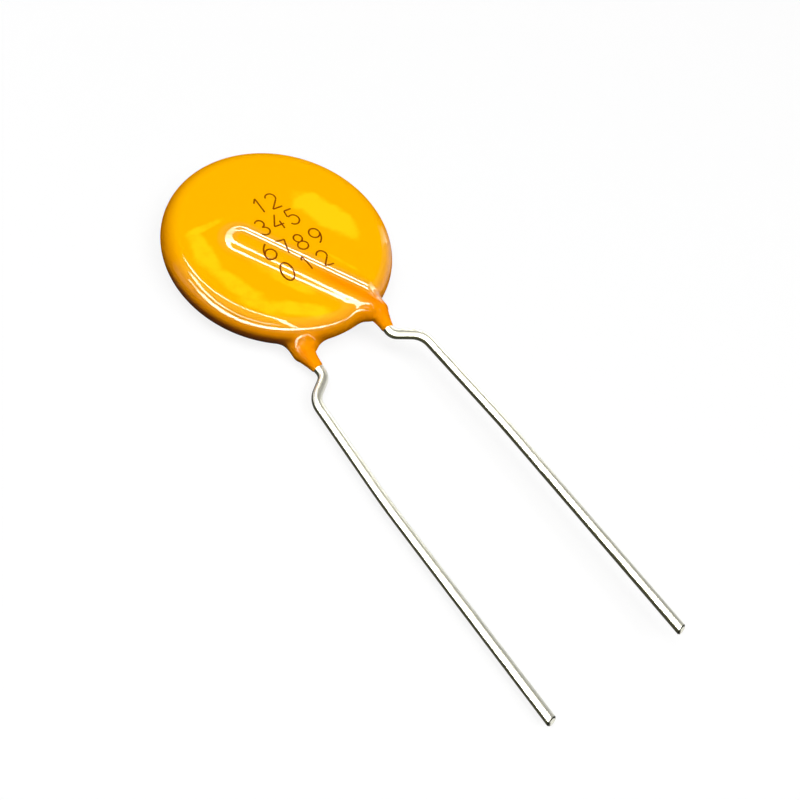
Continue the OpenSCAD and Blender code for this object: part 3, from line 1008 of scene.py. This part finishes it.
class CAPACITOR_OT_stage(Operator):
    """Sets up the camera, the floor, the surroundings, the soft keys and the strip lamps"""
    bl_idname = "capacitor.stage"
    bl_label = "Studio"

    def execute(self, context):
        scene, stage = context.scene, context.scene.cap_stage
        a, e = stage.azimuth, stage.elevation
        forward = np.array([math.sin(a) * math.cos(e), math.cos(a) * math.cos(e),
                            -math.sin(e)])
        self.camera(scene, stage, forward)
        mirrored = forward * np.array([1, 1, -1])
        self.lamps(stage, mirrored, middle())
        self.floor(stage)
        self.sky(scene, stage, mirrored)
        scene.view_settings.view_transform = "Standard"
        return {"FINISHED"}

    def camera(self, scene, stage, forward):
        """A camera that aims at the disc's middle plane, about halfway along the part."""
        low, high = np.array(CAD_BOX)
        off_middle = np.array([0.216, -0.194, 0]) * MM
        aim = (low + high) / 2 + off_middle
        aim[2] = middle()[2]
        level = unit(UP - forward[2] * forward)
        side = np.cross(forward, level)
        up = math.cos(stage.roll) * level + math.sin(stage.roll) * side
        data = bpy.data.cameras.new("camera")
        data.lens = stage.lens
        data.sensor_width = 36
        data.clip_start = 0.001
        scene.camera = bpy.data.objects.new("camera", data)
        stand(scene.camera, aim - stage.distance * forward, np.cross(forward, up), up,
              -forward)

    def lamps(self, stage, mirrored, target):
        """Two soft keys above, and rows of glint strips round the mirrored view, each cut
        into short strips."""
        key_far, far = 0.4, 0.32
        for name, way in (("left_key", stage.left_way), ("low_key", stage.low_way)):
            over = target + key_far * unit(np.array(way))
            half = np.array([stage.key_size / 2, 0, 0])
            strip_lamp(name, over - half, over + half, stage.key_size,
                       stage.keys / 2 * math.pi * (key_far / stage.key_size) ** 2,
                       target, glint=False)
        for row, stations in STRIPS.items():
            values = np.array(stations, float).T
            values[:3] = np.radians(values[:3])
            run = gone(turned_off(mirrored, *values[:2]))
            cuts = np.linspace(0, run[-1], math.ceil(run[-1] / stage.lamp_step) + 1)
            around, away, width, bright = (np.interp(cuts, run, v) for v in values)
            spots = target + far * turned_off(mirrored, around, away)
            for i in range(len(cuts) - 1):
                strip_lamp(f"{row}_{i}", spots[i], spots[i + 1],
                           far * (width[i] + width[i + 1]),
                           stage.lamps * (bright[i] + bright[i + 1]) / 2, target)

    def floor(self, stage):
        """A plain pale floor that keeps the part's shadow, and is partly plain white as
        seen directly and in reflections."""
        s = Shader("pale_floor")
        camera, mirror, through = (s.node("ShaderNodeLightPath", output=f"Is {kind} Ray")
                                   for kind in ("Camera", "Glossy", "Transmission"))
        seen = (camera + mirror + through).clamped()
        pale = s.node("ShaderNodeBsdfDiffuse", {}, {"Color": rgba(stage.floor)})
        white = s.node("ShaderNodeEmission", {}, {"Color": (1, 1, 1, 1), "Strength": 1.0})
        looks = s.node("ShaderNodeMixShader", {}, {0: stage.whiteness, 1: pale, 2: white})
        lights = s.node("ShaderNodeBsdfDiffuse", {}, {"Color": rgba(stage.bounce)})
        material = s.out(s.node("ShaderNodeMixShader", {}, {0: seen, 1: lights, 2: looks}))
        half, z = 3.0, CAD_BOX[0][2]
        corners = [(-half, -half, z), (half, -half, z), (half, half, z), (-half, half, z)]
        meshed("floor", corners, [(0, 1, 2, 3)], material)

    def sky(self, scene, stage, mirrored):
        """White all round as seen directly; pale walls up to a dim ceiling in reflections,
        dark where the flat face mirrors it."""
        inner, outer = math.cos(math.radians(14)), math.cos(math.radians(30))
        wall_top, ceiling_edge, darkness = 0.16, 0.28, 0.97
        world = scene.world = bpy.data.worlds.new("studio")
        s = Shader("studio", world)
        way = s.node("ShaderNodeTexCoord", output="Generated")
        height, mirror = (s.node("ShaderNodeVectorMath", {"operation": "DOT_PRODUCT"},
                                 {0: way, 1: axis}, output="Value")
                          for axis in ((0, 0, 1), mirrored.tolist()))
        level = stage.walls + (height.steps(wall_top, ceiling_edge)
                               * (stage.ceiling - stage.walls))
        seen = s.node("ShaderNodeLightPath", output="Is Camera Ray")
        level = level * (1 - mirror.steps(outer, inner) * darkness) * (1 - seen) + seen
        s.out(s.node("ShaderNodeBackground", {}, {"Color": (1, 1, 1, 1), "Strength": level}),
              "ShaderNodeOutputWorld")
        world.cycles_visibility.diffuse = False


# Strip lamps as rows of stations: angle round the mirrored view, counted from +X towards
# +Y, angle away from it, half width in degrees, and brightness.
STRIPS = {
    "ridge": [(20, 41, 1.4, 20), (30, 42.5, 1.5, 28), (40, 42.5, 1.5, 30), (50, 44, 1.6, 20),
              (61, 48, 1.8, 10), (87, 47, 2, 6), (114, 44, 2, 9), (139, 41.5, 2.5, 24),
              (163, 38, 2.8, 28), (180, 35, 2, 28), (190, 33.5, 1.5, 28),
              (200, 33.5, 1.4, 28), (210, 36, 1.5, 28), (221, 42, 2, 24),
              (232, 62, 2.2, 20), (243, 78, 2.2, 18)],
    "inner_rim": [(158, 55, 4, 14), (166, 61, 4.5, 22), (175, 68, 3.5, 22),
                  (182, 73, 2.8, 20), (195, 80, 2.2, 16), (205, 81, 2, 14),
                  (216, 78, 2, 14), (230, 74, 2, 12)],
    "outer_rim": [(158, 80, 2, 4), (165, 83, 4, 14), (175, 90, 6, 24),
                  (183, 98, 7, 26), (202, 106, 7.5, 26), (221, 101, 7, 26),
                  (235, 94, 6, 26), (246, 88, 5, 26), (265, 84, 4, 24),
                  (283, 81, 2.6, 18), (295, 80, 1.5, 10)],
    "wires": [(3, 22, 3, 1.5), (4, 30, 5, 2.5), (6, 42, 7, 4), (8, 55, 8, 6), (9, 63, 8, 6)],
}


# ---- sidebar and main

STEPS = (CAPACITOR_OT_coating, CAPACITOR_OT_wires, CAPACITOR_OT_marking,
         CAPACITOR_OT_element, CAPACITOR_OT_stage)


class CAPACITOR_PT_build(Panel):
    """Lists the steps and the values that they read"""
    bl_label = "Ceramic disc capacitor"
    bl_space_type = "VIEW_3D"
    bl_region_type = "UI"
    bl_category = "Capacitor"

    def draw(self, context):
        for step in STEPS:
            self.layout.operator(step.bl_idname)
        for name in GROUPS:
            box = self.layout.box()
            group = getattr(context.scene, name)
            for key in group.__annotations__:
                box.prop(group, key)


CLASSES = (*GROUPS.values(), *STEPS, CAPACITOR_PT_build)


def register():
    for cls in CLASSES:
        bpy.utils.register_class(cls)
    for name, group in GROUPS.items():
        setattr(bpy.types.Scene, name, PointerProperty(type=group))


def unregister():
    for name in GROUPS:
        delattr(bpy.types.Scene, name)
    for cls in reversed(CLASSES):
        bpy.utils.unregister_class(cls)


def main():
    register()
    bpy.ops.capacitor.coating()
    bpy.ops.capacitor.wires()
    bpy.ops.capacitor.marking()
    bpy.ops.capacitor.element()
    bpy.ops.capacitor.stage()


if __name__ == "__main__":
    main()
